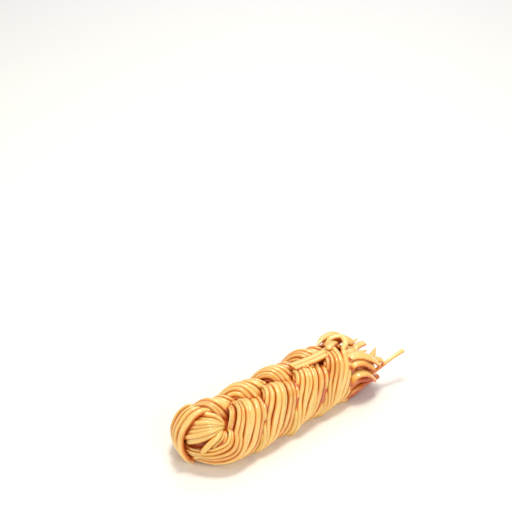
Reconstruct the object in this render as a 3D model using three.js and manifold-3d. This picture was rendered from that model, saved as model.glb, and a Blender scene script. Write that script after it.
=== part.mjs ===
// Braided string cheese: a skein of pulled cheese strands. One end is a rounded knot where the skein loops
// round (the head), the middle is a plait of three bundles, and the other end is cut off and frays (the tail).
// One loose strip lies on top of the plait.
// Millimetres. +Z is up, +X runs from head to tail and Y across. The origin is the middle of the underside.

import * as THREE from "three";
import { LoftGeometry } from "three/addons/geometries/LoftGeometry.js";
import { mergeVertices } from "three/addons/utils/BufferGeometryUtils.js";
import Module from "manifold-3d";

// The plait
const LOBE_STEP = 25; // from one lobe to the next on the same side
const LOBES = 4; // lobes on each side
const TURN = 3 * LOBE_STEP; // length in which a bundle swings across and back once
const SWING = 0.56 * LOBE_STEP; // how far a bundle's middle swings to each side
const LIFT = 0.27 * LOBE_STEP; // how far it rises and falls as it passes over and under
const BUNDLE_HALF_WIDTH = 0.46 * LOBE_STEP;
const BUNDLE_HALF_DEPTH = 0.335 * LOBE_STEP;
const STRANDS_ROUND = 13; // strands that show round one bundle
const GROOVE = 0.9; // depth of the groove between two strands
const RING_STEP = 4; // length of one loft step along a bundle
const HIDDEN_STARTS = [0, 0.4 * LOBE_STEP, 0.4 * LOBE_STEP]; // length of each bundle that lies in the head
const FLATTENED = 1.2; // what the underside has lost in roundness where it lies

// The head
const HEAD_RADIUS = 0.79 * LOBE_STEP;
const HEAD_HALF_HEIGHT = LIFT + BUNDLE_HALF_DEPTH;
const HEAD_BACK = 0.08 * LOBE_STEP; // its middle is this far before the start of the plait
const HEAD_ASIDE = 0.16 * LOBE_STEP; // and this far off the centre line
const CROWN_TILT = 0.55; // radians from straight up to the crown
const CROWN_HEADING = -Math.PI / 4; // compass direction of that tilt, from +X
const CROWN_PIT_RADIUS = 3.5; // of the hollow at the crown, where the strands dive
const HEAD_STRANDS = 20; // strands that fan out from the crown
const HEAD_RINGS = 12;
const WRAPS = 5; // strands that pass over the end of the head
const WRAP_NEAREST = 0.3; // radians from the head's middle to the first wrap
const WRAP_APART = 0.19;
const WRAP_REACH = 1.9; // radians a wrap runs down to each side
const WRAP_WIDTH = 4;
const WRAP_THICKNESS = 3;
const WRAP_STEPS = 12;

// The tail
const STRIPS_PER_BUNDLE = 5;
const STRIP_WIDTH = 7;
const STRIP_THICKNESS = 3.6;
const TAIL_LENGTH = 0.85 * LOBE_STEP;
const TAIL_SKEW = 0.35; // how much further the near strips reach, for each millimetre aside
const TAIL_SPREAD = 1.1; // how many times as far aside they end
// Strands that stand out from the rest of the tail: each leaves the plait, arches over and ends.
const STANDOUT_WIDTH = 4.6;
const STANDOUTS = [
  [[86, 4, 25], [98, 11, 27.5], [111, 13, 24]],
  [[88, -3, 25], [101, -5, 26.5], [112, -12, 18]],
  [[86, -13, 22], [103, -14.5, 22], [119, -20, 11]],
  [[84, -17, 15], [100, -18.5, 17], [116, -22, 7]],
  [[100, -19, 9], [118, -21.5, 13], [136, -21.5, 18]],
];
const STRIP_STEPS = 5;

// The loose strip
const LOOSE_LENGTH = 27;
const LOOSE_WIDTH = 6;
const LOOSE_THICKNESS = 2.2;
const LOOSE_HEADING = -0.06; // radians from +X
const LOOSE_MIDDLE = [2.98 * LOBE_STEP, -0.04 * LOBE_STEP];
const RESTING_GAP = 0.4;

const FULL_TURN = 2 * Math.PI;
const PLAIT_LENGTH = LOBES * LOBE_STEP;
const MIDDLE_HEIGHT = LIFT + BUNDLE_HALF_DEPTH - FLATTENED;
const HEAD_MIDDLE = new THREE.Vector3(-HEAD_BACK, HEAD_ASIDE, MIDDLE_HEIGHT);
const FAR_BELOW = new THREE.Vector3(0, 0, -10000);

const CHEESE = { color: 0xf0b765, roughness: 0.45, metalness: 0 };

const wasm = await Module();
wasm.setup();

// A closed three.js geometry as a solid that can be joined and cut.
function solidOf(geometry) {
  const bare = new THREE.BufferGeometry();
  bare.setAttribute("position", geometry.attributes.position);
  bare.setIndex(geometry.index);
  const merged = mergeVertices(bare);
  const vertProperties = merged.attributes.position.array;
  const triVerts = new Uint32Array(merged.index.array);
  return new wasm.Manifold(new wasm.Mesh({ numProp: 3, vertProperties, triVerts }));
}

// A solid as a three.js geometry.
function geometryOf(solid) {
  const mesh = solid.getMesh();
  const geometry = new THREE.BufferGeometry();
  geometry.setAttribute("position", new THREE.BufferAttribute(new Float32Array(mesh.vertProperties), 3));
  geometry.setIndex(new THREE.BufferAttribute(new Uint32Array(mesh.triVerts), 1));
  geometry.computeVertexNormals();
  return geometry;
}

// The outer skin of a solid, which fills the hollows sealed between its strands.
function largestShell(solid) {
  return solid.decompose().reduce((most, shell) => (shell.volume() > most.volume() ? shell : most));
}

// A solid skin over rings of points, with both ends closed.
function lofted(rings) {
  return new LoftGeometry(rings, { closed: true, capStart: true, capEnd: true });
}

// A unit vector that leans away from straight up by tilt, towards a compass direction.
function leaning(tilt, compass) {
  return new THREE.Vector3().setFromSphericalCoords(1, tilt, Math.PI / 2 + compass).applyAxisAngle(
    new THREE.Vector3(1, 0, 0),
    Math.PI / 2,
  );
}

// A ring of crests and grooves, one crest for each strand: place(angle, sink) gives a point.
function strandRing(strands, place) {
  const ring = [];
  for (let i = 0; i < 2 * strands; i++) {
    ring.push(place((FULL_TURN * i) / (2 * strands), (i % 2) * GROOVE));
  }
  return ring;
}

// Where a bundle is at a distance along the plait, and the way it runs.
function bundlePlace(bundle, along) {
  const phase = FULL_TURN * (along / TURN + bundle / 3);
  const rate = FULL_TURN / TURN;
  const middle = new THREE.Vector3(
    along,
    SWING * Math.sin(phase),
    MIDDLE_HEIGHT - LIFT * Math.sin(2 * phase),
  );
  const heading = new THREE.Vector3(
    1,
    SWING * rate * Math.cos(phase),
    -2 * LIFT * rate * Math.cos(2 * phase),
  ).normalize();
  const deep = new THREE.Vector3(0, heading.z, -heading.y).normalize();
  const wide = new THREE.Vector3().crossVectors(heading, deep);
  const side = new THREE.Vector3(heading.y, -heading.x, 0).normalize();
  const up = new THREE.Vector3().crossVectors(side, heading);
  return { middle, deep, wide, side, up };
}

// One of the three bundles. Its section is an oval that turns over at the sides of the plait, while its strands
// run along it without turning.
function bundleGeometry(bundle) {
  const length = PLAIT_LENGTH + HIDDEN_STARTS[bundle];
  const steps = Math.round(length / RING_STEP);
  const rings = [];
  for (let i = 0; i <= steps; i++) {
    const along = PLAIT_LENGTH - length * (1 - i / steps);
    const { middle, deep, wide, side, up } = bundlePlace(bundle, along);
    rings.push(
      strandRing(STRANDS_ROUND, (angle, sink) => {
        const outward = up.clone().multiplyScalar(Math.cos(angle)).addScaledVector(side, Math.sin(angle));
        const radius =
          1 / Math.hypot(outward.dot(deep) / BUNDLE_HALF_DEPTH, outward.dot(wide) / BUNDLE_HALF_WIDTH);
        return middle.clone().addScaledVector(outward, radius - sink);
      }),
    );
  }
  return lofted(rings);
}

// A point of the head in a direction from its middle; sink is how far under the crests it lies.
function headPoint(direction, sink) {
  return new THREE.Vector3(
    HEAD_MIDDLE.x + (HEAD_RADIUS - sink) * direction.x,
    HEAD_MIDDLE.y + (HEAD_RADIUS - sink) * direction.y,
    HEAD_MIDDLE.z + (HEAD_HALF_HEIGHT - sink) * direction.z,
  );
}

// The head: strands that fan out from the crown, down over the sides and together again underneath.
function headGeometry() {
  const crown = leaning(CROWN_TILT, CROWN_HEADING);
  const down = leaning(CROWN_TILT + Math.PI / 2, CROWN_HEADING);
  const side = new THREE.Vector3().crossVectors(crown, down);
  const rings = [];
  for (let i = 1; i < HEAD_RINGS; i++) {
    const polar = Math.PI * (1 - i / HEAD_RINGS);
    rings.push(
      strandRing(HEAD_STRANDS, (angle, sink) =>
        headPoint(
          crown
            .clone()
            .multiplyScalar(Math.cos(polar))
            .addScaledVector(down, Math.sin(polar) * Math.cos(angle))
            .addScaledVector(side, Math.sin(polar) * Math.sin(angle)),
          sink * Math.sin(polar),
        ),
      ),
    );
  }
  return lofted(rings);
}

// What is cut away at the crown, where the fanned strands dive into the head.
function crownPitGeometry() {
  const middle = headPoint(leaning(CROWN_TILT, CROWN_HEADING), -0.3 * CROWN_PIT_RADIUS);
  return new THREE.IcosahedronGeometry(CROWN_PIT_RADIUS, 1).translate(middle.x, middle.y, middle.z);
}

// A ribbon of cheese with rounded edges along a path. Its flat faces look towards and away from the core point.
function ribbonGeometry(points, core, width, thickness, steps) {
  const path = new THREE.CatmullRomCurve3(points);
  const rounded = (value) => Math.sign(value) * Math.abs(value) ** 0.6;
  const rings = [];
  for (let i = 0; i <= steps; i++) {
    const place = path.getPoint(i / steps);
    const heading = path.getTangent(i / steps);
    const side = new THREE.Vector3().subVectors(place, core).cross(heading).normalize();
    const out = new THREE.Vector3().crossVectors(heading, side);
    const ring = [];
    for (let corner = 0; corner < 8; corner++) {
      const angle = (FULL_TURN * corner) / 8;
      ring.push(
        place
          .clone()
          .addScaledVector(side, (width / 2) * rounded(Math.cos(angle)))
          .addScaledVector(out, (thickness / 2) * rounded(Math.sin(angle))),
      );
    }
    rings.push(ring);
  }
  return lofted(rings);
}

// A strand that passes over the end of the head and down both of its sides.
function wrapGeometry(wrap) {
  const off = WRAP_NEAREST + WRAP_APART * wrap;
  const away = leaning(-Math.PI / 2, CROWN_HEADING);
  const along = leaning(Math.PI / 2, CROWN_HEADING + Math.PI / 2);
  const points = [];
  for (let i = 0; i <= WRAP_STEPS; i++) {
    const turn = WRAP_REACH * ((2 * i) / WRAP_STEPS - 1);
    const direction = new THREE.Vector3(0, 0, Math.cos(off) * Math.cos(turn))
      .addScaledVector(away, Math.sin(off))
      .addScaledVector(along, Math.cos(off) * Math.sin(turn));
    points.push(headPoint(direction, 0.1 * WRAP_THICKNESS));
  }
  return ribbonGeometry(points, HEAD_MIDDLE, WRAP_WIDTH, WRAP_THICKNESS, WRAP_STEPS);
}

// A cut strand of the tail: it leaves its bundle, spreads, and sinks towards the surface it lies on.
function tailStripGeometry(bundle, strip) {
  const start = bundlePlace(bundle, PLAIT_LENGTH - RING_STEP);
  const share = strip / (STRIPS_PER_BUNDLE - 1) - 0.5;
  const layer = strip % 2 ? 1 : -1;
  const wander = Math.sin(2.4 * strip + 2 * bundle);
  const root = start.middle
    .clone()
    .addScaledVector(start.wide, 1.4 * share * BUNDLE_HALF_WIDTH)
    .addScaledVector(start.deep, 0.45 * layer * BUNDLE_HALF_DEPTH);
  const end = new THREE.Vector3(
    root.x + TAIL_LENGTH * (0.85 + 0.15 * wander) - TAIL_SKEW * root.y,
    root.y * (TAIL_SPREAD + 0.1 * wander) + 6 * share,
    STRIP_THICKNESS + root.z * (0.4 + 0.25 * wander),
  );
  const arch = new THREE.Vector3().addVectors(root, end).multiplyScalar(0.5);
  arch.z += 1.5 + 1.5 * layer;
  arch.y += 1.5 * wander;
  return ribbonGeometry([root, arch, end], FAR_BELOW, STRIP_WIDTH, STRIP_THICKNESS, STRIP_STEPS);
}

// A strand of the tail that stands out, along the points given.
function standoutGeometry(points) {
  const path = points.map((point) => new THREE.Vector3(...point));
  return ribbonGeometry(path, FAR_BELOW, STANDOUT_WIDTH, STRIP_THICKNESS, STRIP_STEPS);
}

// The whole plaited skein as one solid, flat where it lies on its underside.
function plaitGeometry() {
  const pieces = [headGeometry(), ...STANDOUTS.map(standoutGeometry)];
  for (let wrap = 0; wrap < WRAPS; wrap++) {
    pieces.push(wrapGeometry(wrap));
  }
  for (let bundle = 0; bundle < 3; bundle++) {
    pieces.push(bundleGeometry(bundle));
    for (let strip = 0; strip < STRIPS_PER_BUNDLE; strip++) {
      pieces.push(tailStripGeometry(bundle, strip));
    }
  }
  const joined = pieces.map(solidOf).reduce((whole, piece) => whole.add(piece));
  const room = new THREE.BoxGeometry(1000, 1000, 200).translate(0, 0, 100);
  const trimmed = joined.subtract(solidOf(crownPitGeometry())).intersect(solidOf(room));
  return geometryOf(largestShell(trimmed));
}

// The loose strip, a slight arch that rests on the crests of two lobes.
function looseStripGeometry() {
  const low = MIDDLE_HEIGHT + LIFT + BUNDLE_HALF_DEPTH + RESTING_GAP + LOOSE_THICKNESS / 2;
  const middle = new THREE.Vector3(...LOOSE_MIDDLE, low);
  const reach = new THREE.Vector3(Math.cos(LOOSE_HEADING), Math.sin(LOOSE_HEADING), 0);
  reach.multiplyScalar(LOOSE_LENGTH / 2);
  const points = [middle.clone().sub(reach), middle.clone(), middle.clone().add(reach)];
  points[1].z += 1;
  return ribbonGeometry(points, FAR_BELOW, LOOSE_WIDTH, LOOSE_THICKNESS, STRIP_STEPS);
}

function cheeseMesh(name, geometry) {
  const mesh = new THREE.Mesh(geometry, new THREE.MeshStandardMaterial(CHEESE));
  mesh.name = name;
  return mesh;
}

const braid = new THREE.Group();
braid.add(cheeseMesh("plait", plaitGeometry()));
braid.add(cheeseMesh("loose_strip", looseStripGeometry()));

// Moves the origin to the middle of the underside.
const extent = new THREE.Box3().setFromObject(braid);
braid.position.set(-(extent.min.x + extent.max.x) / 2, -(extent.min.y + extent.max.y) / 2, -extent.min.z);

export default braid;
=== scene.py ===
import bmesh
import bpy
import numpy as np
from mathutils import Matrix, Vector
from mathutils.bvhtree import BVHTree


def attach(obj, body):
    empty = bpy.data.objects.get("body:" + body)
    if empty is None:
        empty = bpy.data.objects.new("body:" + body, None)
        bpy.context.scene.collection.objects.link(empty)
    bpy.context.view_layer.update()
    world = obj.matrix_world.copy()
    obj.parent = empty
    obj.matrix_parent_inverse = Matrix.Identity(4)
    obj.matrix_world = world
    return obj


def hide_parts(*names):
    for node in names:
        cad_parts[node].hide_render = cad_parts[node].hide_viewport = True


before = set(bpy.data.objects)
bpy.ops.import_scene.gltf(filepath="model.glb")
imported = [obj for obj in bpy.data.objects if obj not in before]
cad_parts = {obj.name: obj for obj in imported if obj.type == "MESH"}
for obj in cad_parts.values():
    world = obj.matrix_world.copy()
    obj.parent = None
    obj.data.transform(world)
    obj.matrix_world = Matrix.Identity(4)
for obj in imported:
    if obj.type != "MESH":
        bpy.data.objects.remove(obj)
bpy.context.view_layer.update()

# Braided string cheese: a skein of pulled, smoked curd strands. It is looped at one end into a rounded
# knot (the head), plaited in three bundles, and cut off at the other end, where it frays (the tail).
# A loose strip and a few crumbs lie on top.
#
# Every strand is worked out as a path with a facing direction, a width and a thickness along it. One
# Geometry Nodes tree then sweeps a rounded section along all the strands of a piece. Lengths are in
# millimetres in the plait's own frame (x from the start of the plait towards the tail), and become metres
# in the row's frame in piece_from.

MM = 0.001
TAU = 2 * np.pi
UP = np.array([0.0, 0.0, 1.0])
random = np.random.default_rng(11)

# The plait
LOBE_STEP = 25.0  # from one lobe to the next on the same side
TURN = 3 * LOBE_STEP  # length in which a bundle swings across and back once
SWING = 0.56 * LOBE_STEP
LIFT = 0.33 * LOBE_STEP
DIVE = 0.12  # how much more steeply a bundle dives at the centre line than a plain wave
RIDES_UP = 0.3  # radians by which a bundle's crest is nearer the centre line than its dip
SHINGLE = 0.36  # radians by which a lobe's edge towards the head stands up over the lobe before it
HALF_WIDTH = 0.45 * LOBE_STEP
HALF_DEPTH = 0.275 * LOBE_STEP
FLATTENED = 1.2  # what the underside has lost where it lies
PLAIT_LENGTH = 4 * LOBE_STEP
MIDDLE_HEIGHT = LIFT + HALF_DEPTH - FLATTENED
PLAIT_START = np.array([-56.8, -0.31, 0.0])  # of the plait's frame in the row's frame
BOXINESS = 0.72  # 1 is an ellipse, and less has squarer corners

# The strands of a bundle
STRANDS = 18  # round one bundle
STRAND_SHARES = (0.5, 1.5)  # of the room round a bundle, against an even share
HALF_THICKNESS = 1.8
HALF_WIDTH_LIMITS = (0.85, 2.9)
OVERLAP = 0.545  # half a strand's width, as a share of the distance to the next one
DEPTH_SCATTER = 0.7  # how far a whole strand lies above or below its neighbours
RIM_POINTS = 721

# How strands drift: the length of a hump along the strand in millimetres, and its size.
THICKNESS_DRIFT = (10, 0.05)  # size as a share of the thickness
ANGLE_DRIFT = (20, 0.045)  # size in radians round the bundle
DEPTH_DRIFT = (18, 0.25)  # size in millimetres
HEAD_DRIFT = (15, 0.2)  # size in millimetres

# The head
HEAD_MIDDLE = np.array([-0.08 * LOBE_STEP, 0.16 * LOBE_STEP, MIDDLE_HEIGHT])
HEAD_RADII = np.array([0.79 * LOBE_STEP, 0.79 * LOBE_STEP, LIFT + HALF_DEPTH])
AWAY = np.array([-(0.5**0.5), 0.5**0.5, 0.0])  # level, from the head's middle towards its wrapped end
NEAR_ABOVE = np.array([-0.525, -0.525, 0.67])  # from the head's middle towards its near upper side
RISING = np.cross(AWAY, NEAR_ABOVE)

# Rings along a strand: even steps, and a few close rings at both ends that shape them.
SWEEP_STEP = 1.2
CLOSE_RINGS = np.array([0, 0.12, 0.4, 0.8])
FIRST_EVEN_RING = 1.3
SECTION_SIDES = 12


def unit(vectors):
    return vectors / np.maximum(np.linalg.norm(vectors, axis=-1, keepdims=True), 1e-9)


def signed_power(values, power):
    return np.sign(values) * np.abs(values) ** power


def column(value, count):
    """One value, or one for each row, as a column with a value for each row."""
    return np.broadcast_to(np.asarray(value, float), count)


def curve_through(points, count):
    """A smooth curve through points (Catmull-Rom, spaced by chord), as count points.
    Extra columns ride along."""
    points = np.asarray(points, float)
    knots = np.r_[0, np.cumsum(np.linalg.norm(np.diff(points[:, :3], axis=0), axis=1) ** 0.5)]
    slopes = np.gradient(points, knots, axis=0)
    at = np.linspace(0, knots[-1], count)
    span = np.clip(np.searchsorted(knots, at, side="right") - 1, 0, len(knots) - 2)
    width = (knots[span + 1] - knots[span])[:, None]
    t = (at - knots[span])[:, None] / width
    return (
        (2 * t**3 - 3 * t**2 + 1) * points[span]
        + (t**3 - 2 * t**2 + t) * width * slopes[span]
        + (3 * t**2 - 2 * t**3) * points[span + 1]
        + (t**3 - t**2) * width * slopes[span + 1]
    )


def wander(count, length, wave, size):
    """A smooth random drift along a strand, with humps about wave millimetres long."""
    humps = max(int(length / wave) + 3, 4)
    knots = np.c_[np.arange(humps), np.zeros((humps, 2)), size * random.normal(size=humps)]
    return curve_through(knots, count)[:, 3]


def resampled(path, fields):
    """The places of a strand's rings along its path, and the path and its fields at those places."""
    along = np.r_[0, np.cumsum(np.linalg.norm(np.diff(path, axis=0), axis=1))]
    length = along[-1]
    count = max(int(length / SWEEP_STEP), 2)
    inner = np.linspace(FIRST_EVEN_RING, length - FIRST_EVEN_RING, count)
    at = np.r_[CLOSE_RINGS, inner, length - CLOSE_RINGS[::-1]]
    columns = np.column_stack([path, *fields])
    return at, np.stack([np.interp(at, along, values) for values in columns.T], 1)


END_REACH = {"round": 1.7, "square": 0.3, "point": 8.0}  # how far each kind of end shapes its strand


def end_shape(kind, distance):
    """How much of its width and thickness a strand has at a distance from its end."""
    share = np.clip(distance / END_REACH[kind], 0, 1)
    rounded = np.sqrt(np.clip(1 - (1 - share) ** 2, 0.03, 1))
    if kind == "square":
        return 0.86 + 0.14 * rounded, 0.8 + 0.2 * rounded
    if kind == "point":
        return 0.12 + 0.88 * share**0.8, 0.45 + 0.55 * share
    return rounded, rounded


def strand(path, outward, half_width, half_thickness, ends=("round", "round"), tone=None):
    """One strand: rings along a path, with the way its face looks, its half width and half thickness."""
    count = len(path)
    facing = np.broadcast_to(outward, (count, 3))
    fields = [facing, column(half_width, count), column(half_thickness, count)]
    at, rows = resampled(np.asarray(path, float), fields)
    path, outward, wide, thick = rows[:, :3], rows[:, 3:6], rows[:, 6], rows[:, 7]
    heading = unit(np.gradient(path, at, axis=0))
    side = unit(np.cross(outward, heading))
    for kind, distance in zip(ends, (at, at[-1] - at)):
        width_share, thickness_share = end_shape(kind, distance)
        wide = wide * width_share
        thick = thick * thickness_share
    return {
        "path": path,
        "side": side,
        "outward": np.cross(heading, side),
        "half_width": wide,
        "half_thickness": thick * (1 + wander(len(at), at[-1], *THICKNESS_DRIFT)),
        "along": at,
        "tone": np.full(len(at), random.uniform(0, 1) if tone is None else tone),
    }


# ------------------------------------------------------------------ bundles


def plait_rule(bundle, along):
    """A bundle's middle and the way its thin side faces, at distances along the plait, as rows of six."""
    phase = TAU * (along / TURN + bundle / 3)
    rate = TAU / TURN
    drop = LIFT * (np.sin(2 * phase - RIDES_UP) + DIVE * np.sin(4 * phase))
    drop_slope = LIFT * rate * (2 * np.cos(2 * phase - RIDES_UP) + 4 * DIVE * np.cos(4 * phase))
    middle = np.stack([along, SWING * np.sin(phase), MIDDLE_HEIGHT - drop], 1)
    heading = unit(np.stack([np.ones_like(along), SWING * rate * np.cos(phase), -drop_slope], 1))
    deep = unit(np.stack([0 * along, heading[:, 2], -heading[:, 1]], 1))
    tilt = (-SHINGLE * drop / LIFT * np.cos(phase))[:, None]
    deep = deep * np.cos(tilt) + np.cross(heading, deep) * np.sin(tilt)
    return np.c_[middle, deep]


def with_steady_sides(rows):
    """Turns each row's thin side to agree with the row before, as a flat bundle's two sides look alike."""
    for i in range(1, len(rows)):
        if rows[i, 3:6] @ rows[i - 1, 3:6] < 0:
            rows[i, 3:6] *= -1
    return rows


def at_full_depth(rows):
    """Rows with one more column: a full share of the bundle's depth."""
    return np.c_[rows, np.ones(len(rows))]


def places_round(count):
    """Angles round an oval bundle, spaced for strands of different widths."""
    angles = np.linspace(0, TAU, RIM_POINTS)
    across = HALF_WIDTH * signed_power(np.sin(angles), BOXINESS)
    through = HALF_DEPTH * signed_power(np.cos(angles), BOXINESS)
    rim = np.stack([across, through], 1)
    round_it = np.r_[0, np.cumsum(np.linalg.norm(np.diff(rim, axis=0), axis=1))]
    shares = random.uniform(*STRAND_SHARES, count)
    marks = (np.cumsum(shares) - 0.5 * shares) / shares.sum()
    return np.interp(marks * round_it[-1], round_it, angles)


def bundle_strands(rows, count, size=1.0):
    """Strands side by side round an oval bundle: a list of paths, the ways they face and their half widths.
    Each row is a middle, a thin side's way, and a share of the full depth."""
    middle, deep, depth_share = rows[:, :3], rows[:, 3:6], rows[:, 6]
    heading = unit(np.gradient(middle, axis=0))
    deep = unit(deep - heading * (deep * heading).sum(1, keepdims=True))
    wide = np.cross(heading, deep)
    half_wide = size * HALF_WIDTH * np.ones(len(rows))
    half_deep = size * HALF_DEPTH * depth_share
    length = np.linalg.norm(np.diff(middle, axis=0), axis=1).sum()
    bend = 2 - BOXINESS
    points, faces = [], []
    for place in places_round(count):
        angle = place + wander(len(rows), length, *ANGLE_DRIFT)
        across, through = np.sin(angle), np.cos(angle)
        face = unit(
            wide * (signed_power(across, bend) / half_wide)[:, None]
            + deep * (signed_power(through, bend) / half_deep)[:, None]
        )
        scatter = random.uniform(-DEPTH_SCATTER, DEPTH_SCATTER)
        sink = HALF_THICKNESS + scatter + wander(len(rows), length, *DEPTH_DRIFT)
        points.append(
            middle
            + wide * (half_wide * signed_power(across, BOXINESS))[:, None]
            + deep * (half_deep * signed_power(through, BOXINESS))[:, None]
            - face * sink[:, None]
        )
        faces.append(face)
    gaps = [np.linalg.norm(points[i] - points[i - 1], axis=1) for i in range(count)]
    widths = [
        np.clip(0.5 * OVERLAP * (gaps[i] + gaps[(i + 1) % count]), *HALF_WIDTH_LIMITS)
        for i in range(count)
    ]
    return points, faces, widths


# Where the strands of each bundle end in the tail: lowest and highest x, y and z.
TAIL_ROOM = {
    0: ((101, 4, 3), (115, 19, 20)),
    1: ((101, -21, 2), (121, -5, 15)),
    2: ((101, -9, 4), (118, 7, 19)),
}
LEAVES_PLAIT = PLAIT_LENGTH - 6
LEAVES_EARLIER = 6.0  # how much earlier the strands on a bundle's tail side leave it
TAIL_SCATTER = 0.22  # of where a strand ends, as a share of the room
BELLY_SCATTER = 0.8
BELLY_RISE = 2.0  # at most
RIBBON_HALF_WIDTH = (1.6, 2.7)  # of a strand in the tail, where it has spread flat
REWORKED = 8  # points of a path that the curve into the tail replaces
TAIL_POINTS = 50
LOWEST_IN_TAIL = 1.3


def with_tail(bundle, path, face, width):
    """Adds a tail to a strand at the path's last point: it spreads flat, sinks and is cut off."""
    middle = plait_rule(bundle, np.array([LEAVES_PLAIT]))[0, :3]
    tail_side = np.clip(0.5 + 0.5 * (path[-1] - middle)[0] / HALF_WIDTH, 0, 1)
    dropped = int(LEAVES_EARLIER * tail_side / np.linalg.norm(path[-1] - path[-2]))
    path, face, width = (values[: len(path) - dropped] for values in (path, face, width))
    leave = path[-1]
    low, high = np.array(TAIL_ROOM[bundle], float)
    where = 0.5 + 0.5 * (leave - middle) / HALF_WIDTH + random.normal(size=3) * TAIL_SCATTER
    where[0] = random.uniform(0, 1)
    end = low + (high - low) * np.clip(where, 0, 1)
    heading = unit(path[-1] - path[-4])
    quarter = leave + heading * 0.25 * np.linalg.norm(end - leave)
    scatter = random.normal(size=3) * BELLY_SCATTER
    belly = 0.5 * (quarter + end) + scatter + UP * random.uniform(0, BELLY_RISE)
    flat_width = random.uniform(*RIBBON_HALF_WIDTH)
    turned = [unit(face[-1] * (1 - share) + UP * share) for share in (0.35, 0.7, 1.0)]
    widths = [0.6 * width[-1] + 0.4 * flat_width, flat_width, flat_width]
    body = np.c_[path[-REWORKED::3], face[-REWORKED::3], width[-REWORKED::3]]
    rows = curve_through(np.r_[body, np.c_[[quarter, belly, end], turned, widths]], TAIL_POINTS)
    rows[:, 2] = np.maximum(rows[:, 2], LOWEST_IN_TAIL)
    return (
        np.r_[path[:-REWORKED], rows[:, :3]],
        np.r_[face[:-REWORKED], unit(rows[:, 3:6])],
        np.r_[width[:-REWORKED], rows[:, 6]],
    )


# The loop that joins two bundles: it sweeps down and under the head, and comes up on its far side.
# Each row is a middle and a share of the bundle's full depth.
UNDER_HEAD = [
    [1.5, -13.4, 9.4, 1.0],
    [-4.8, -10.4, 6.8, 0.85],
    [-10.0, -3.5, 5.6, 0.65],
    [-11.5, 3.5, 5.6, 0.6],
    [-10.0, 9.5, 8.0, 0.65],
    [-5.5, 12.8, 13.0, 0.8],
]
LOOP_LEAVES = 7  # where one bundle leaves the plait for the head
LOOP_RETURNS = 0.5  # and where the other comes back into it
LOOP_STEP = 2.0
LOOP_ROWS = 330


def loop_rows():
    """The middle line of the loop: up the plait in one bundle, under the head, and back in the other."""
    out = plait_rule(2, np.arange(LEAVES_PLAIT, LOOP_LEAVES, -LOOP_STEP))
    back = plait_rule(1, np.arange(LOOP_RETURNS, LEAVES_PLAIT + 1, LOOP_STEP))
    under = np.array(UNDER_HEAD)
    from_axis = unit((under[:, :3] - HEAD_MIDDLE) * [1, 1, 1.4])
    under = np.c_[under[:, :3], from_axis, under[:, 3]]
    rows = with_steady_sides(np.r_[at_full_depth(out), under, at_full_depth(back)])
    return curve_through(rows, LOOP_ROWS)


MIDDLE_STARTS = 5.0  # along the plait, hidden under the head
MIDDLE_IS_FULL = 20.0
MIDDLE_FIRST_SIZE = 0.45
MIDDLE_ROWS = 130


def middle_rows(start):
    """The middle line of the third bundle."""
    rows = plait_rule(0, np.linspace(start, LEAVES_PLAIT, MIDDLE_ROWS))
    return at_full_depth(with_steady_sides(rows))


def loop_strands():
    made = []
    for path, face, width in zip(*bundle_strands(loop_rows(), STRANDS)):
        path, face, width = with_tail(1, path, face, width)
        path, face, width = with_tail(2, path[::-1], face[::-1], width[::-1])
        made.append(strand(path, face, width, HALF_THICKNESS, ("square", "square")))
    return made


def middle_strands():
    """The third bundle, which starts thin under the head and soon has its full width."""
    rows = middle_rows(MIDDLE_STARTS)
    grown = np.interp(rows[:, 0], [MIDDLE_STARTS, MIDDLE_IS_FULL], [MIDDLE_FIRST_SIZE, 1.0])
    made = []
    for path, face, width in zip(*bundle_strands(rows, STRANDS, grown)):
        path, face, width = with_tail(0, path, face, width)
        made.append(strand(path, face, width, HALF_THICKNESS, ("round", "square")))
    return made


INNER_STRANDS = 9  # in each bundle
INNER_SIZE = 0.55  # of the ring they make, as a share of the bundle's
INNER_LENGTH = 20  # before they leave the bundle
INNER_ROWS = 30
INNER_HALF_THICKNESS = 1.3


def inner_tail_strands():
    """Strands from inside the bundles, which show only where the tail frays."""
    made = []
    for bundle in range(3):
        along = np.linspace(LEAVES_PLAIT - INNER_LENGTH, LEAVES_PLAIT, INNER_ROWS)
        rows = at_full_depth(with_steady_sides(plait_rule(bundle, along)))
        for path, face, width in zip(*bundle_strands(rows, INNER_STRANDS, INNER_SIZE)):
            path, face, width = with_tail(bundle, path, face, width)
            made.append(strand(path, face, width, INNER_HALF_THICKNESS, ("square", "square")))
    return made


CORE_INSET = 3.4
CORE_STARTS = 12.0  # along the third bundle
HEAD_CORE_INSET = 4.2
HEAD_CORE_REACH = 0.985  # of its radius
HEAD_CORE_ROWS = 24


def core_strands():
    """A smaller solid inside each bundle and the head, so that no light comes through between the strands."""
    made = []
    for rows in (loop_rows()[24:-24], middle_rows(CORE_STARTS)[:-20]):
        thin = HALF_DEPTH * rows[:, 6] - CORE_INSET
        made.append(strand(rows[:, :3], rows[:, 3:6], HALF_WIDTH - CORE_INSET, thin, tone=0.5))
    radii = HEAD_RADII - HEAD_CORE_INSET
    across = np.linspace(-HEAD_CORE_REACH, HEAD_CORE_REACH, HEAD_CORE_ROWS)
    path = HEAD_MIDDLE + np.outer(across * radii[0], AWAY)
    narrowing = np.sqrt(1 - across**2)
    made.append(strand(path, UP, radii[1] * narrowing, radii[2] * narrowing, tone=0.5))
    return made


# ------------------------------------------------------------------ head

ROUND_THE_BACK = 1.6  # radians that a spot turns for each 1 past the outline
HEAD_POINTS = 70
HEAD_STRAND_LENGTH = 45


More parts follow.
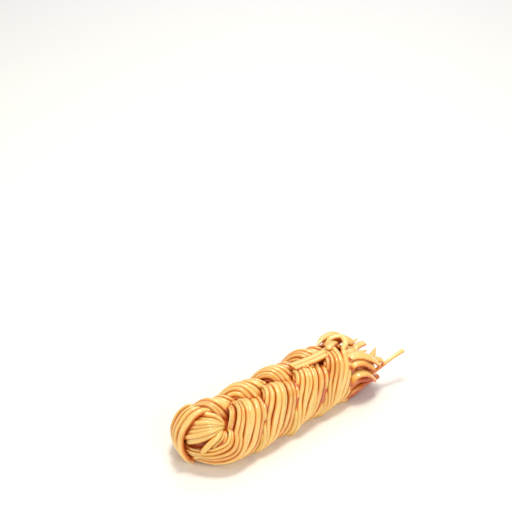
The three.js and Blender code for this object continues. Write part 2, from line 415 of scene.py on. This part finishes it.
def on_head(spots, rise):
    """Points on the head and the ways they face. A spot is how far it lies towards the wrapped end and how
    high, as the head shows from its near upper side, with its outline 1 away from the middle. Spots past 1
    are behind."""
    spots = np.asarray(spots, float)
    out = np.linalg.norm(spots, axis=1)
    turn = np.arcsin(np.minimum(out, 1)) + ROUND_THE_BACK * np.maximum(out - 1, 0)
    ways = spots / np.maximum(out, 1e-6)[:, None]
    level = np.sin(turn)[:, None] * (ways[:, :1] * AWAY + ways[:, 1:] * RISING)
    directions = level + np.cos(turn)[:, None] * NEAR_ABOVE
    face = unit(directions / HEAD_RADII)
    return HEAD_MIDDLE + HEAD_RADII * directions + face * np.reshape(rise, (-1, 1)), face


def head_strand(spots, half_width, rises, half_thickness):
    """A strand over spots on the head, with a half width and a rise above the egg shape at each."""
    spots = np.asarray(spots, float)
    fields = np.c_[0 * spots[:, :1], column(half_width, len(spots)), column(rises, len(spots))]
    rows = curve_through(np.c_[spots, fields], HEAD_POINTS)
    rise = rows[:, 4] + wander(HEAD_POINTS, HEAD_STRAND_LENGTH, *HEAD_DRIFT)
    points, face = on_head(rows[:, :2], rise)
    points[:, 2] = np.maximum(points[:, 2], half_thickness)
    return strand(points, face, rows[:, 3], half_thickness)


def between(first, last, place):
    """Spots on the way from a first row of spots to a last one. Places past 1 go on beyond the last."""
    return np.array(first) * (1 - place) + np.array(last) * place


CROWN = np.array([-0.54, 0.30])  # the spot where the fanned strands dive
FAN = 7  # strands from under the first wrap to the crown
FAN_HALF_WIDTHS = np.array([1.6, 1.65, 1.2, 0.75, 0.55])
FAN_SINKS = np.array([0, 0, 0, 2.6, 6])
FAN_HALF_THICKNESS = 1.75


def head_fan():
    """Strands that come out from under the wraps and dive together at the crown. They start on a bow
    beside the first wrap, bulge apart on the way, and end on a short line."""
    made = []
    for share in np.arange(FAN) / (FAN - 1):
        start = np.array([0.34 + 0.36 * np.sin(np.pi * share * 0.75), 0.62 - 1.0 * share])
        end = CROWN + [0.0, 0.07 - 0.2 * share]
        bulge = np.array([0.0, 0.07 * (1 - 2.2 * share)])
        outer = 0.62 * start + 0.38 * end + bulge
        inner = 0.25 * start + 0.75 * end + bulge
        widths = FAN_HALF_WIDTHS * random.uniform(0.9, 1.15)
        level = -HALF_THICKNESS + random.uniform(-0.5, 0.5)
        spots = [start, outer, inner, end, end - [0.05, 0.0]]
        made.append(head_strand(spots, widths, level - FAN_SINKS, FAN_HALF_THICKNESS))
    return made


# The first of the wraps and one in the middle, as spots from where they tuck in at the top to the
# underside.
FIRST_WRAP = [
    [-0.08, 0.74], [0.12, 0.63], [0.32, 0.46], [0.47, 0.22], [0.60, -0.05],
    [0.65, -0.32], [0.62, -0.62], [0.50, -0.85], [0.36, -1.02],
]
MIDDLE_WRAP = [
    [0.34, 0.90], [0.52, 0.80], [0.72, 0.64], [0.87, 0.42], [0.965, 0.13],
    [0.985, -0.14], [0.93, -0.42], [0.82, -0.62], [0.66, -0.84],
]
# Each wrap's place from the first to the middle one and beyond, its half width, and its rise above the
# egg shape.
WRAPS = [
    (0.0, 1.845, 1.3),
    (0.29, 1.35, -0.7),
    (0.52, 1.665, 0.3),
    (0.80, 1.44, 0.0),
    (1.04, 1.44, 0.1),
    (1.28, 1.53, 0.0),
    (1.52, 1.62, -0.1),
    (1.76, 1.62, -0.1),
    (2.0, 1.62, -0.2),
    (2.25, 1.62, -0.3),
]
WRAP_TUCKS = [3.2, 0.6]  # how far the first two spots sink
WRAP_HALF_THICKNESS = 1.9


def head_wraps():
    """Strands that pass over the end of the head and down its near side."""
    made = []
    for place, half_width, rise in WRAPS:
        spots = between(FIRST_WRAP, MIDDLE_WRAP, place)
        rises = np.full(len(spots), rise)
        rises[:2] -= WRAP_TUCKS
        made.append(head_strand(spots, half_width, rises, WRAP_HALF_THICKNESS))
    return made


# The upper and the lowest of the strands that leave the crown and run down the near side of the head.
UPPER_SWEEP = [[-0.54, 0.16], [-0.40, -0.11], [-0.18, -0.37], [0.11, -0.75], [0.34, -0.93]]
LOWEST_SWEEP = [[-0.78, 0.02], [-0.86, -0.38], [-0.74, -0.75], [-0.45, -1.03], [-0.15, -1.2]]
# Each one's place from the upper to the lowest, its half width, and its rise above the egg shape.
SWEEPS = [(0.0, 1.75, -1.2), (0.24, 0.9, -1.9), (0.42, 1.5, -1.2), (0.7, 1.6, -1.5), (1.0, 1.6, -1.8)]
SWEEP_WIDENING = np.array([0.5, 0.85, 1.1, 1.05, 0.8])
SWEEP_TUCK = 3.0  # how far the first spot sinks
SWEEP_HALF_THICKNESS = 1.45


def head_sweeps():
    """Strands that leave the crown and run down the near side of the head."""
    made = []
    for place, half_width, rise in SWEEPS:
        spots = between(UPPER_SWEEP, LOWEST_SWEEP, place)
        rises = np.full(len(spots), rise)
        rises[0] -= SWEEP_TUCK
        made.append(head_strand(spots, half_width * SWEEP_WIDENING, rises, SWEEP_HALF_THICKNESS))
    return made


# ------------------------------------------------------------------ tail

# Ribbons that stand out from the rest of the tail. Each has its points, half widths, half thickness and
# two ends.
STANDOUTS = {
    "far_sliver": (
        [(90, 9.5, 27), (97, 11.5, 29), (104.5, 11.5, 29.5)],
        [1.2, 2.0, 2.2], 0.8, ("point", "square"),
    ),
    "far_flap": (
        [(96, 8, 26), (104, 11, 29), (111, 9.5, 27)],
        [2.2, 2.8, 2.4], 0.9, ("round", "square"),
    ),
    "curl": (
        [(95, 5, 25), (101, 8, 29), (106.5, 4.5, 30), (104.5, -1.5, 29.5), (98, -5, 28)],
        [1.7, 1.8, 1.9, 1.9, 1.7], 1.5, ("round", "round"),
    ),
    "behind_curl": (
        [(102, 7, 24), (109, 5.5, 27), (113.5, 0.5, 24)],
        [2.4, 2.8, 2.6], 1.2, ("round", "round"),
    ),
    "frill_far": (
        [(106, 2, 19), (113, 2.5, 23), (119, 1.5, 24.5)],
        [2.2, 2.6, 1.8], 0.8, ("round", "point"),
    ),
    "frill_middle": (
        [(107, -2, 19), (114, -1.5, 22), (121, -2.5, 22.5)],
        [2.2, 2.6, 2.2], 0.8, ("round", "square"),
    ),
    "frill_near": (
        [(107, -5, 17), (113, -6, 20.5), (118.5, -7, 20)],
        [2.0, 2.2, 1.8], 0.9, ("round", "point"),
    ),
    "broad": (
        [(93, -9.5, 23), (100, -7, 26), (107, -7.5, 25), (112, -9.5, 19)],
        [2.2, 3.0, 3.1, 2.8], 1.2, ("round", "round"),
    ),
    "upright_leaf": (
        [(108, -13, 14), (115, -13, 18), (121.5, -11.5, 23)],
        [2.8, 3.0, 2.2], 0.9, ("round", "point"),
    ),
    "low_leaf": (
        [(109, -15, 15), (115.5, -16, 19), (121, -18, 17)],
        [2.2, 2.5, 2.2], 0.9, ("round", "square"),
    ),
    "near_arch_upper": (
        [(92, -11, 19), (97, -12, 26.5), (103.5, -13.8, 26.5), (111, -16.8, 22.5), (117, -18.7, 16.5)],
        [2.0, 3.0, 3.3, 3.1, 2.8], 1.2, ("round", "square"),
    ),
    "near_arch_middle": (
        [(91.5, -14.3, 15), (96.5, -15.5, 23.5), (103, -17, 23.3), (111, -19.6, 17)],
        [2.0, 3.0, 3.3, 3.0], 1.2, ("round", "square"),
    ),
    "near_arch_lower": (
        [(90.5, -17.8, 9), (95.5, -19.4, 18), (102.5, -20.9, 17.5), (110, -21.4, 10)],
        [2.0, 2.9, 3.1, 2.8], 1.2, ("round", "square"),
    ),
    "longest": (
        [(108, -15, 7), (119, -18.5, 13.5), (128, -20.3, 17.3), (136.3, -21.4, 19.3)],
        [1.4, 1.2, 1.1, 1.5], 0.9, ("round", "square"),
    ),
}
STANDOUT_POINTS = 60


def standout_strands():
    """The ribbons that stand out, each facing up and a little to the near side."""
    made = []
    for points, widths, thickness, ends in STANDOUTS.values():
        rows = curve_through(np.c_[np.array(points, float), widths], STANDOUT_POINTS)
        heading = unit(np.gradient(rows[:, :3], axis=0))
        face = unit(UP + 0.35 * NEAR_ABOVE - heading * heading[:, 2:])
        made.append(strand(rows[:, :3], face, rows[:, 3], thickness, ends))
    return made


# ------------------------------------------------------------------ what lies on top

ABOVE_ALL = 60.0
DRAPE_POINTS = 40
DRAPE_REACH = 5  # points to each side over which the highest holds a strand up
DRAPE_SMOOTHINGS = 30


def ground_under(surface, x, y):
    """Height of the plait's surface, in millimetres."""
    above = Vector((np.array([x, y, ABOVE_ALL]) + PLAIT_START) * MM)
    hit = surface.ray_cast(above, Vector((0, 0, -1)))[0]
    return 0.0 if hit is None else hit.z / MM


def draped(surface, ends, half_width, half_thickness, slack=1.4, stiffness=0.0):
    """A path that lies from one point to another on whatever is highest under its width. A stiff one
    bridges dips, and slack is how far it sinks in."""
    line = np.linspace(*np.array(ends, float), DRAPE_POINTS)
    ahead = unit(line[-1] - line[0])
    side = np.array([-ahead[1], ahead[0]])
    rests = side * half_width * np.array([-0.6, 0, 0.6])[:, None]
    tops = [max(ground_under(surface, *place) for place in point + rests) for point in line]
    along = np.arange(DRAPE_POINTS)
    held = np.array([max(tops[max(i - DRAPE_REACH, 0) : i + DRAPE_REACH + 1]) for i in along])
    for _ in range(DRAPE_SMOOTHINGS):
        held = np.convolve(np.r_[held[:1], held, held[-1:]], [0.25, 0.5, 0.25], "valid")
    straight = np.polyval(np.polyfit(along, held, 1), along)
    return np.c_[line, held + stiffness * (straight - held) + half_thickness - slack]


STRIP_ENDS = ((60.5, -0.2), (88.0, -1.8))
STRIP_HALF_WIDTH = 2.4  # over which it rests
STRIP_HALF_THICKNESS = 1.3
STRIP_STIFFNESS = 0.8
# Its strands: how far each is to the side, its half width, and how many points shorter it is.
STRIP_STRANDS = ((1.75, 2.0, 0), (-1.9, 1.85, 2))
SHORT_ENDS = ((88.8, -1.6), (99.5, 2.0))


def loose_strands(surface):
    """The loose strip: two strands that still cling together, and a short one across its end."""
    made = []
    lying = draped(
        surface, STRIP_ENDS, STRIP_HALF_WIDTH, STRIP_HALF_THICKNESS, stiffness=STRIP_STIFFNESS
    )
    for shift, half_width, shorter in STRIP_STRANDS:
        path = lying[: len(lying) - shorter] + [0, shift, 0]
        made.append(strand(path, UP, half_width, STRIP_HALF_THICKNESS, ("square", "round")))
    made.append(strand(draped(surface, SHORT_ENDS, 1.5, 1.2), UP, 2.2, 1.2))
    return made


# Crumbs: where each lies, which way its length points in radians, its length and its half width.
CRUMBS = [
    (61.8, -4.6, 0.3, 3.4, 0.95),
    (65.2, -5.2, -0.5, 3.0, 0.8),
    (68.3, -5.0, 0.8, 3.6, 1.0),
    (72.0, -5.4, 0.1, 3.2, 0.75),
    (75.6, -5.3, -0.9, 2.9, 0.7),
    (40.6, 3.4, 1.2, 3.3, 1.05),
]
CRUMB_SLACK = 0.7


def crumb_strands(surface):
    """Short bits that broke off the loose strip and lie in the creases."""
    made = []
    for x, y, turn, length, half_width in CRUMBS:
        reach = 0.5 * length * np.array([np.cos(turn), np.sin(turn)])
        ends = ((x, y) - reach, (x, y) + reach)
        path = draped(surface, ends, half_width, half_width, slack=CRUMB_SLACK)
        made.append(strand(path, UP, half_width, half_width))
    return made


# ------------------------------------------------------------------ meshes


def add_node(tree, kind, settings=None, links=None):
    """Adds a node. settings go to its properties or, by name or index, to its inputs, and links join
    sockets to inputs."""
    node = tree.nodes.new(kind)
    for key, value in (settings or {}).items():
        if isinstance(key, str) and hasattr(node, key):
            setattr(node, key, value)
        else:
            node.inputs[key].default_value = value
    for key, socket in (links or {}).items():
        tree.links.new(socket, node.inputs[key])
    return node


def strand_tree():
    """Sweeps a rounded section along every polyline, by the width, thickness and facing stored on it."""
    tree = bpy.data.node_groups.new("strands_from_paths", "GeometryNodeTree")
    new_socket = tree.interface.new_socket
    new_socket("Geometry", in_out="OUTPUT", socket_type="NodeSocketGeometry")
    new_socket("Geometry", in_out="INPUT", socket_type="NodeSocketGeometry")
    new_socket("Section sides", in_out="INPUT", socket_type="NodeSocketInt")
    new_socket("Squareness", in_out="INPUT", socket_type="NodeSocketFloat")
    new_socket("Lowest", in_out="INPUT", socket_type="NodeSocketFloat")
    new_socket("Material", in_out="INPUT", socket_type="NodeSocketMaterial")
    given = add_node(tree, "NodeGroupInput").outputs
    position = add_node(tree, "GeometryNodeInputPosition").outputs[0]

    # The section: a circle with its place across and above the strand stored on it. A squareness below 1
    # squares its corners.
    section = add_node(
        tree, "GeometryNodeCurvePrimitiveCircle", {"mode": "RADIUS", "Radius": 1.0},
        {"Resolution": given["Section sides"]},
    ).outputs["Curve"]
    place = add_node(tree, "ShaderNodeSeparateXYZ", None, {0: position}).outputs
    for axis, name in (("X", "across"), ("Y", "crest")):
        size = add_node(tree, "ShaderNodeMath", {"operation": "ABSOLUTE"}, {0: place[axis]}).outputs[0]
        squared = add_node(
            tree, "ShaderNodeMath", {"operation": "POWER"}, {0: size, 1: given["Squareness"]}
        ).outputs[0]
        sign = add_node(tree, "ShaderNodeMath", {"operation": "SIGN"}, {0: place[axis]}).outputs[0]
        value = add_node(tree, "ShaderNodeMath", {"operation": "MULTIPLY"}, {0: sign, 1: squared})
        section = add_node(
            tree, "GeometryNodeStoreNamedAttribute", {"data_type": "FLOAT", "Name": name},
            {"Geometry": section, "Value": value.outputs[0]},
        ).outputs["Geometry"]

    paths = add_node(tree, "GeometryNodeMeshToCurve", None, {"Mesh": given["Geometry"]}).outputs["Curve"]
    paths = add_node(
        tree, "GeometryNodeStoreNamedAttribute", {"data_type": "FLOAT_VECTOR", "Name": "middle"},
        {"Geometry": paths, "Value": position},
    ).outputs["Geometry"]
    swept = add_node(
        tree, "GeometryNodeCurveToMesh", {"Fill Caps": True}, {"Curve": paths, "Profile Curve": section}
    ).outputs["Mesh"]

    # Each point goes to its strand's middle, plus its share of the width to the side and of the thickness
    # outward.
    target = add_node(
        tree, "GeometryNodeInputNamedAttribute", {"data_type": "FLOAT_VECTOR", "Name": "middle"}
    ).outputs["Attribute"]
    steps = (("side", "across", "half_width"), ("outward", "crest", "half_thickness"))
    for way, share, half_size in steps:
        stored = {
            name: add_node(tree, "GeometryNodeInputNamedAttribute", {"data_type": kind, "Name": name})
            for name, kind in ((way, "FLOAT_VECTOR"), (share, "FLOAT"), (half_size, "FLOAT"))
        }
        distance = add_node(
            tree, "ShaderNodeMath", {"operation": "MULTIPLY"},
            {0: stored[share].outputs["Attribute"], 1: stored[half_size].outputs["Attribute"]},
        ).outputs[0]
        step = add_node(
            tree, "ShaderNodeVectorMath", {"operation": "SCALE"},
            {0: stored[way].outputs["Attribute"], "Scale": distance},
        ).outputs["Vector"]
        target = add_node(
            tree, "ShaderNodeVectorMath", {"operation": "ADD"}, {0: target, 1: step}
        ).outputs[0]
    # Nothing goes below the surface that the braid lies on.
    parts = add_node(tree, "ShaderNodeSeparateXYZ", None, {0: target}).outputs
    height = add_node(
        tree, "ShaderNodeMath", {"operation": "MAXIMUM"}, {0: parts["Z"], 1: given["Lowest"]}
    )
    rested = add_node(
        tree, "ShaderNodeCombineXYZ", None, {"X": parts["X"], "Y": parts["Y"], "Z": height.outputs[0]}
    ).outputs[0]
    moved = add_node(tree, "GeometryNodeSetPosition", None, {"Geometry": swept, "Position": rested})
    smooth = add_node(tree, "GeometryNodeSetShadeSmooth", None, {"Geometry": moved.outputs[0]})
    real = add_node(tree, "GeometryNodeRealizeInstances", None, {"Geometry": smooth.outputs[0]})
    coated = add_node(
        tree, "GeometryNodeSetMaterial", None, {"Geometry": real.outputs[0], "Material": given["Material"]}
    )
    add_node(tree, "NodeGroupOutput", None, {0: coated.outputs[0]})
    return tree


STORED = ("side", "outward", "half_width", "half_thickness", "along", "tone")
LOWEST = 0.05 * MM


def piece_from(name, strands, tree, material, squareness=1.0, sides=SECTION_SIDES):
    """One piece of the model from its strands, with the middles and the stored columns of all its rings.
    The columns stay on its mesh, where the material and store_openness read them."""
    mesh = bpy.data.meshes.new(name)
    starts = np.cumsum([0] + [len(one["path"]) for one in strands])
    middles = (np.concatenate([one["path"] for one in strands]) + PLAIT_START) * MM
    edges = [
        np.stack([np.arange(start, end - 1), np.arange(start + 1, end)], 1)
        for start, end in zip(starts, starts[1:])
    ]
    mesh.from_pydata(middles.tolist(), np.concatenate(edges).tolist(), [])
    columns = {key: np.concatenate([one[key] for one in strands]) for key in STORED}
    columns["half_width"] = columns["half_width"] * MM
    columns["half_thickness"] = columns["half_thickness"] * MM
    columns["ring"] = np.arange(len(middles), dtype=float)
    for key, values in columns.items():
        kind, field = ("FLOAT_VECTOR", "vector") if values.ndim == 2 else ("FLOAT", "value")
        stored = mesh.attributes.new(key, kind, "POINT")
        stored.data.foreach_set(field, values.astype(np.float32).ravel())
    piece = bpy.data.objects.new(name, mesh)
    bpy.context.scene.collection.objects.link(piece)
    modifier = piece.modifiers.new("strands", "NODES")
    modifier.node_group = tree
    given = {"Section sides": sides, "Squareness": squareness, "Lowest": LOWEST, "Material": material}
    for item in tree.interface.items_tree:
        if item.in_out == "INPUT" and item.name in given:
            modifier[item.identifier] = given[item.name]
    graph = bpy.context.evaluated_depsgraph_get()
    made = bpy.data.meshes.new_from_object(
        piece.evaluated_get(graph), preserve_all_data_layers=True, depsgraph=graph
    )
    piece.modifiers.remove(modifier)
    piece.data = made
    made.name = name
    work = bmesh.new()
    work.from_mesh(made)
    bmesh.ops.recalc_face_normals(work, faces=work.faces)
    work.to_mesh(made)
    work.free()
    return piece, middles, columns


def tree_of(pieces):
    """A search tree of the faces of some pieces."""
    corners, faces = [], []
    for piece, _, _ in pieces:
        base = len(corners)
        corners.extend(vertex.co.copy() for vertex in piece.data.vertices)
        faces.extend([base + corner for corner in polygon.vertices] for polygon in piece.data.polygons)
    return BVHTree.FromPolygons(corners, faces)


OPENNESS_REACH = 11.0 * MM
OPENNESS_RAYS = 18
BLOCKED_SHARE = 0.6  # the most that a ray which hits something counts
RAY_START = 1.08  # half thicknesses above the middle, plus a gap
RAY_GAP = 0.0002


def rays_ahead(count):
    """Evenly spread unit vectors over a half ball, around +Z."""
    i = np.arange(count) + 0.5
    z = np.sqrt(i / count)
    turn = np.pi * (1 + 5**0.5) * i
    flat = np.sqrt(1 - z * z)
    return np.stack([flat * np.cos(turn), flat * np.sin(turn), z], 1)


def store_openness(pieces):
    """How much open space each ring of each strand faces: 1 on a free crest, towards 0 in a deep pit. The
    material paints shade by it in the grooves and pits.
    """
    tree = tree_of(pieces)
    spread = rays_ahead(OPENNESS_RAYS)
    for piece, middles, columns in pieces:
        outward, side = columns["outward"], columns["side"]
        heading = np.cross(side, outward)
        starts = middles + outward * (columns["half_thickness"] * RAY_START + RAY_GAP)[:, None]
        openness = np.empty(len(middles))
        for n, start in enumerate(starts):
            free = 0.0
            for way in spread @ np.stack([side[n], heading[n], outward[n]]):
                distance = tree.ray_cast(Vector(start), Vector(way), OPENNESS_REACH)[3]
                free += 1.0 if distance is None else BLOCKED_SHARE * distance / OPENNESS_REACH
            openness[n] = free / OPENNESS_RAYS
        ring = np.empty(len(piece.data.vertices), dtype=np.float32)
        piece.data.attributes["ring"].data.foreach_get("value", ring)
        values = openness[np.clip(np.rint(ring).astype(int), 0, len(openness) - 1)]
        stored = piece.data.attributes.new("openness", "FLOAT", "POINT")
        stored.data.foreach_set("value", values.astype(np.float32))


# ------------------------------------------------------------------ materials

FIBRE_LENGTH = 12.5
FIBRES_ACROSS = 2.6  # over half a strand's width, so each is about 0.6 mm wide
STRANDS_APART = 97.0  # in the noise, so that no two strands have the same fibres
PATCHES_PER_METRE = 90.0  # each about 11 mm across
RELIEF_DEPTH = 0.3 * MM
SOAK_DEPTH = 1.6 * MM

# Colours from deep in a groove, at 0, to a free crest: the smoked cheese's own orange and cream, spread into
# painted shade.
SMOKE_AND_SHADE_COLOURS = (
    (0.0, "#C65C22"),
    (0.18, "#D87526"),
    (0.42, "#E8923A"),
    (0.7, "#F3AD4C"),
    (0.99, "#FFD27C"),
)


def linear(code):
    """An sRGB hex colour as linear RGBA."""
    values = np.array([int(code[i : i + 2], 16) / 255 for i in (1, 3, 5)])
    values = np.where(values <= 0.04045, values / 12.92, ((values + 0.055) / 1.055) ** 2.4)
    return (*values, 1.0)


def smoked_cheese():
    """Pulled-curd cheese, cold smoked: long fibres, a faint oily sheen, and light that soaks in a few
    millimetres. Smoke has coloured it orange. Its colour also carries painted shade: it is paler on the free
    crests and deep orange on the strands' sides and down in the grooves, where shade falls."""
    material = bpy.data.materials.new("smoked_pulled_curd_cheese")
    material.use_nodes = True
    tree = material.node_tree
    tree.nodes.clear()
    stored = {
        name: add_node(tree, "ShaderNodeAttribute", {"attribute_name": name}).outputs["Fac"]
        for name in ("across", "along", "crest", "openness", "tone")
    }

    # Fibres: noise stretched along the strand.
    fibre_scales = (
        ("X", "along", 1 / FIBRE_LENGTH),
        ("Y", "across", FIBRES_ACROSS),
        ("Z", "tone", STRANDS_APART),
    )
    fibre_place = {
        axis: add_node(
            tree, "ShaderNodeMath", {"operation": "MULTIPLY", 1: scale}, {0: stored[name]}
        ).outputs[0]
        for axis, name, scale in fibre_scales
    }
    fibre_vector = add_node(tree, "ShaderNodeCombineXYZ", None, fibre_place).outputs[0]
    fibres = add_node(
        tree, "ShaderNodeTexNoise", {"Scale": 1.0, "Detail": 3.0, "Roughness": 0.55},
        {"Vector": fibre_vector},
    ).outputs["Fac"]
    # Patches where the smoke took more or less.
    place = add_node(tree, "ShaderNodeTexCoord").outputs["Object"]
    patches = add_node(
        tree, "ShaderNodeTexNoise", {"Scale": PATCHES_PER_METRE, "Detail": 2.0}, {"Vector": place}
    ).outputs["Fac"]

    # How pale a spot is, which paints light and shade: darker by its openness in grooves and pits, paler on
    # the crest of a strand than at its sides, with the fibres, patches and tone that the cheese itself has.
    # Painted shade on a strand's sides and underside, and painted light towards its crest.
    crest = add_node(tree, "ShaderNodeMapRange", {
        "interpolation_type": "SMOOTHSTEP",
        "From Min": -0.1, "From Max": 1.0, "To Min": 0.02, "To Max": 1.06,
    }, {"Value": stored["crest"]}).outputs["Result"]
    # Painted shade in the grooves and pits, by the openness baked from rays.
    painted_pit_shade = add_node(tree, "ShaderNodeMapRange", {
        "interpolation_type": "SMOOTHSTEP", "From Min": 0.06, "From Max": 0.95,
    }, {"Value": stored["openness"]}).outputs["Result"]
    pale = add_node(tree, "ShaderNodeMath", {"operation": "MULTIPLY"}, {0: crest, 1: painted_pit_shade}).outputs[0]
    for noise, strength in ((fibres, 0.32), (patches, 0.45), (stored["tone"], 0.3)):
        middled = add_node(
            tree, "ShaderNodeMath", {"operation": "SUBTRACT", 1: 0.5}, {0: noise}
        ).outputs[0]
        pale = add_node(
            tree, "ShaderNodeMath", {"operation": "MULTIPLY_ADD", 1: strength}, {0: middled, 2: pale}
        ).outputs[0]
    ramp = add_node(tree, "ShaderNodeValToRGB", None, {"Fac": pale})
    stops = ramp.color_ramp.elements
    # The ramp paints shade: deep orange in the grooves, pits and on strands' sides, paler on the free crests.
    for at, code in SMOKE_AND_SHADE_COLOURS:
        stop = stops[0] if at == 0.0 else stops.new(at)
        stop.color = linear(code)
    stops.remove(stops[-1])  # the white that a new ramp ends with
    value = add_node(
        tree, "ShaderNodeMapRange", {"To Min": 0.93, "To Max": 1.05}, {"Value": stored["tone"]}
    ).outputs["Result"]
    toned = add_node(
        tree, "ShaderNodeHueSaturation", None, {"Color": ramp.outputs["Color"], "Value": value}
    ).outputs[0]
    relief = add_node(
        tree, "ShaderNodeBump", {"Strength": 0.6, "Distance": RELIEF_DEPTH}, {"Height": fibres}
    ).outputs[0]
    roughness = add_node(
        tree, "ShaderNodeMapRange", {"From Min": 0.3, "From Max": 0.7, "To Min": 0.30, "To Max": 0.46},
        {"Value": patches},
    ).outputs["Result"]
    shader = add_node(tree, "ShaderNodeBsdfPrincipled", {
        "IOR": 1.45, "Subsurface Weight": 0.35, "Subsurface Radius": (1.0, 0.5, 0.2),
        "Subsurface Scale": SOAK_DEPTH, "Coat Weight": 1.0, "Coat Roughness": 0.17,
    }, {"Base Color": toned, "Normal": relief, "Roughness": roughness})
    add_node(tree, "ShaderNodeOutputMaterial", None, {"Surface": shader.outputs[0]})
    return material


def floor_material():
    """Painted board with a matt coat: an even, pale ground."""
    material = bpy.data.materials.new("matt_painted_board")
    material.use_nodes = True
    shader = material.node_tree.nodes["Principled BSDF"]
    shader.inputs["Base Color"].default_value = linear("#FDFDFC")
    shader.inputs["Roughness"].default_value = 0.8
    return material


# ------------------------------------------------------------------ the model

cheese = smoked_cheese()
sweep = strand_tree()

pieces = [
    piece_from(name, strands, sweep, cheese, **section)
    for name, strands, section in (
        ("loop_strands", loop_strands(), {}),
        ("middle_strands", middle_strands(), {}),
        ("head_fan", head_fan(), {}),
        ("head_wraps", head_wraps(), {}),
        ("head_sweeps", head_sweeps(), {}),
        ("inner_tail_strands", inner_tail_strands(), {}),
        ("tail_standouts", standout_strands(), {"squareness": 0.75, "sides": 16}),
        ("core", core_strands(), {"sides": 28}),
    )
]
plait_surface = tree_of(pieces)
loose = piece_from(
    "loose_strip_detailed", loose_strands(plait_surface), sweep, cheese, squareness=0.72, sides=16
)
pieces.append(loose)
pieces.append(piece_from("crumbs", crumb_strands(plait_surface), sweep, cheese))

store_openness(pieces)

for piece, _, _ in pieces:
    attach(piece, "root")
    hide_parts("loose_strip" if piece is loose[0] else "plait")


# ------------------------------------------------------------------ stage

FLOOR_EDGE = 3.0
floor_mesh = bpy.data.meshes.new("floor")
corners = [(x * FLOOR_EDGE, y * FLOOR_EDGE, 0) for x, y in ((-1, -1), (1, -1), (1, 1), (-1, 1))]
floor_mesh.from_pydata(corners, [], [(0, 1, 2, 3)])
floor = bpy.data.objects.new("floor", floor_mesh)
floor_mesh.materials.append(floor_material())
bpy.context.scene.collection.objects.link(floor)


def softbox(name, place, size, power, colour="#FFFFFF", aim=(0.0, 0.0, 0.0)):
    """A rectangular light at a place in metres, turned to its aim, with its power in watts."""
    light = bpy.data.lights.new(name, "AREA")
    light.shape = "RECTANGLE"
    light.size, light.size_y = size
    light.energy = power
    light.color = linear(colour)[:3]
    lamp = bpy.data.objects.new(name, light)
    lamp.location = place
    lamp.rotation_euler = (Vector(aim) - Vector(place)).to_track_quat("-Z", "Y").to_euler()
    bpy.context.scene.collection.objects.link(lamp)


softbox("overhead_softbox", (0.12, 0.10, 0.82), (0.22, 0.22), 4.1, "#FFF4E4")
softbox("front_softbox", (-0.15, -0.75, 0.45), (0.6, 0.4), 2.8, "#FFF8EE")
softbox("left_softbox", (-0.75, 0.30, 0.45), (0.3, 0.5), 1.6, "#FFF8EE")
softbox("background_softbox", (0.75, 0.75, 0.9), (1.1, 1.1), 6.5, aim=(0.8, 0.8, 0.0))
world = bpy.data.worlds.new("studio")
world.use_nodes = True
world.node_tree.nodes["Background"].inputs["Color"].default_value = linear("#FFFFFF")
world.node_tree.nodes["Background"].inputs["Strength"].default_value = 0.3
bpy.context.scene.world = world
bpy.context.scene.view_settings.view_transform = "Standard"

# A long lens from the head's near side, about two thirds of a metre away.
CAMERA_PLACE = Vector((-0.3838, -0.3941, 0.4092))
CAMERA_AIM = Vector((0.0991, 0.1365, 0.015))
camera_data = bpy.data.cameras.new("camera")
camera_data.sensor_width = 36
camera_data.lens = 79.0
camera = bpy.data.objects.new("camera", camera_data)
camera.location = CAMERA_PLACE
camera.rotation_euler = (CAMERA_AIM - CAMERA_PLACE).to_track_quat("-Z", "Y").to_euler()
bpy.context.scene.collection.objects.link(camera)
bpy.context.scene.camera = camera
